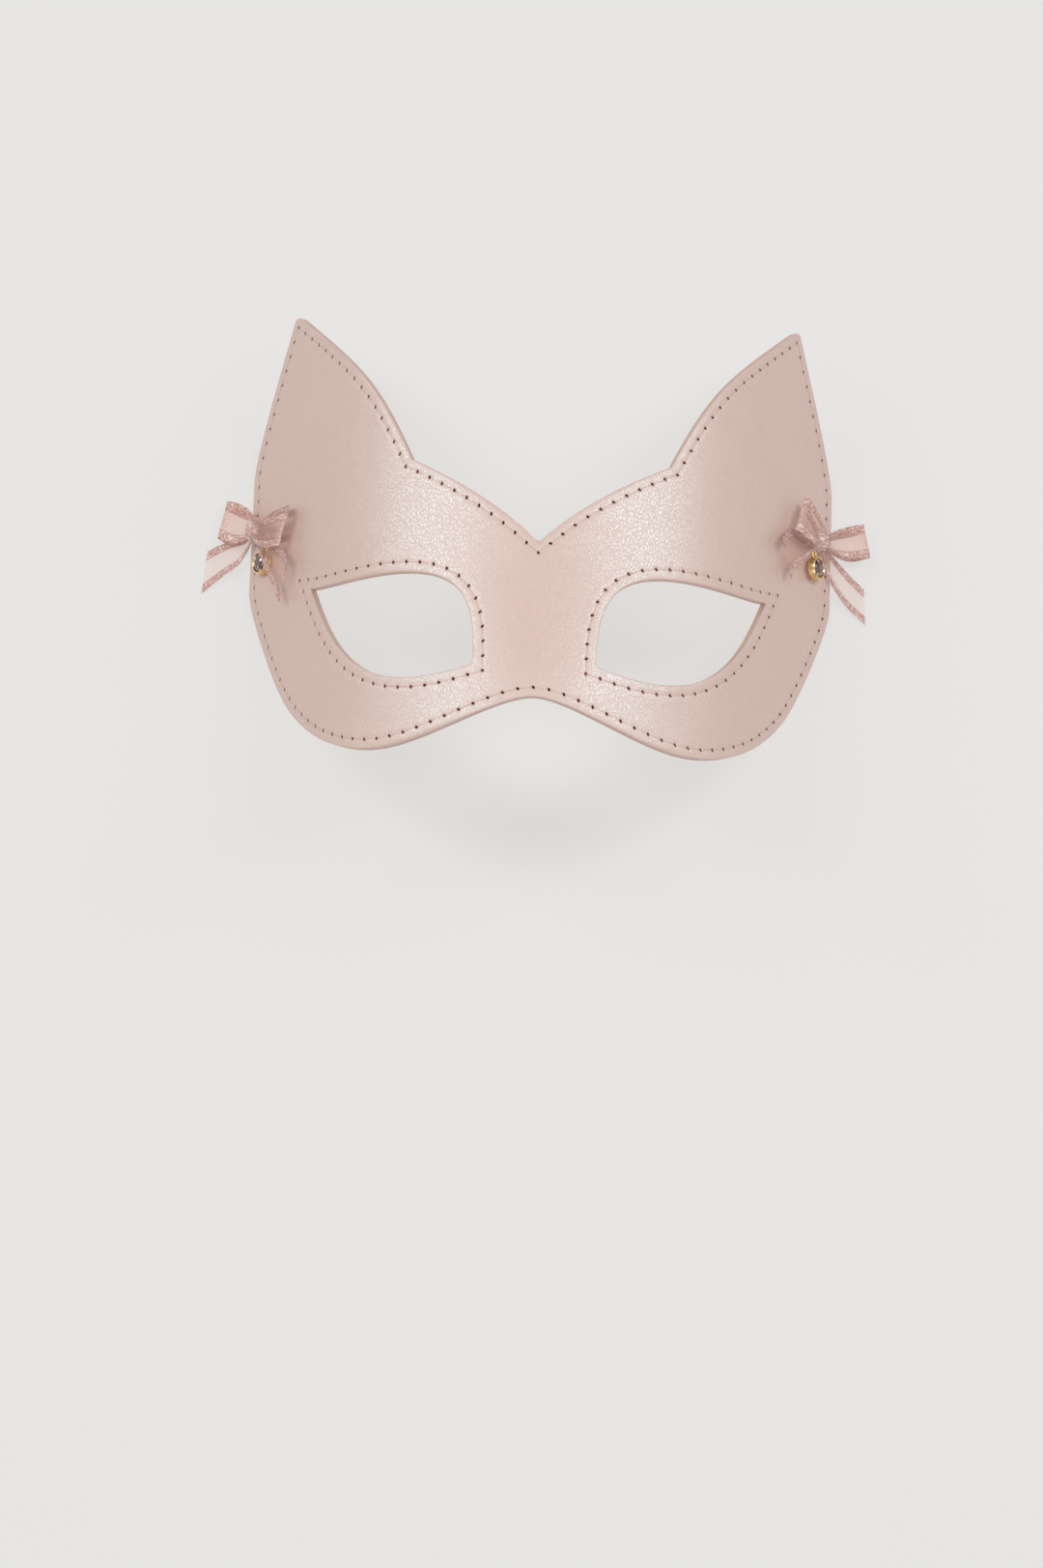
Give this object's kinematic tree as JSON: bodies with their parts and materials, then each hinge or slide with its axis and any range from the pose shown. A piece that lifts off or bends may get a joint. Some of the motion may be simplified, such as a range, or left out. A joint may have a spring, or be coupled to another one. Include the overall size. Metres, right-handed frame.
{
  "type": "cat mask",
  "caption": "Half-face cat mask of soft pink leather with pointed ears, cut eye holes, a stitched seam and ribbon bows with hanging crystals, lying face up.",
  "frame": {"origin": "on the floor under the middle of the mask's bounding box, with the mask lying face up on the lower edges of its two wings", "axes": "+Z out of the face, +Y towards the ears, +X to the right seen from the front"},
  "size_m": [0.1838, 0.1303, 0.061],
  "materials": {
    "front_leather": "satin pink nappa, fine pebbled grain",
    "lining_leather": "matte pink lining leather",
    "ribbon": "sheer rose organza with satin edges",
    "gold": "polished gold plate",
    "crystal": "faceted smoky crystal"
  },
  "bodies": {
    "root": {"leather_front": "front_leather", "leather_lining": "lining_leather", "bow_left": "ribbon", "bow_right": "ribbon", "setting_left": "gold", "setting_right": "gold", "crystal_left": "crystal", "crystal_right": "crystal"}
  },
  "joints": []
}
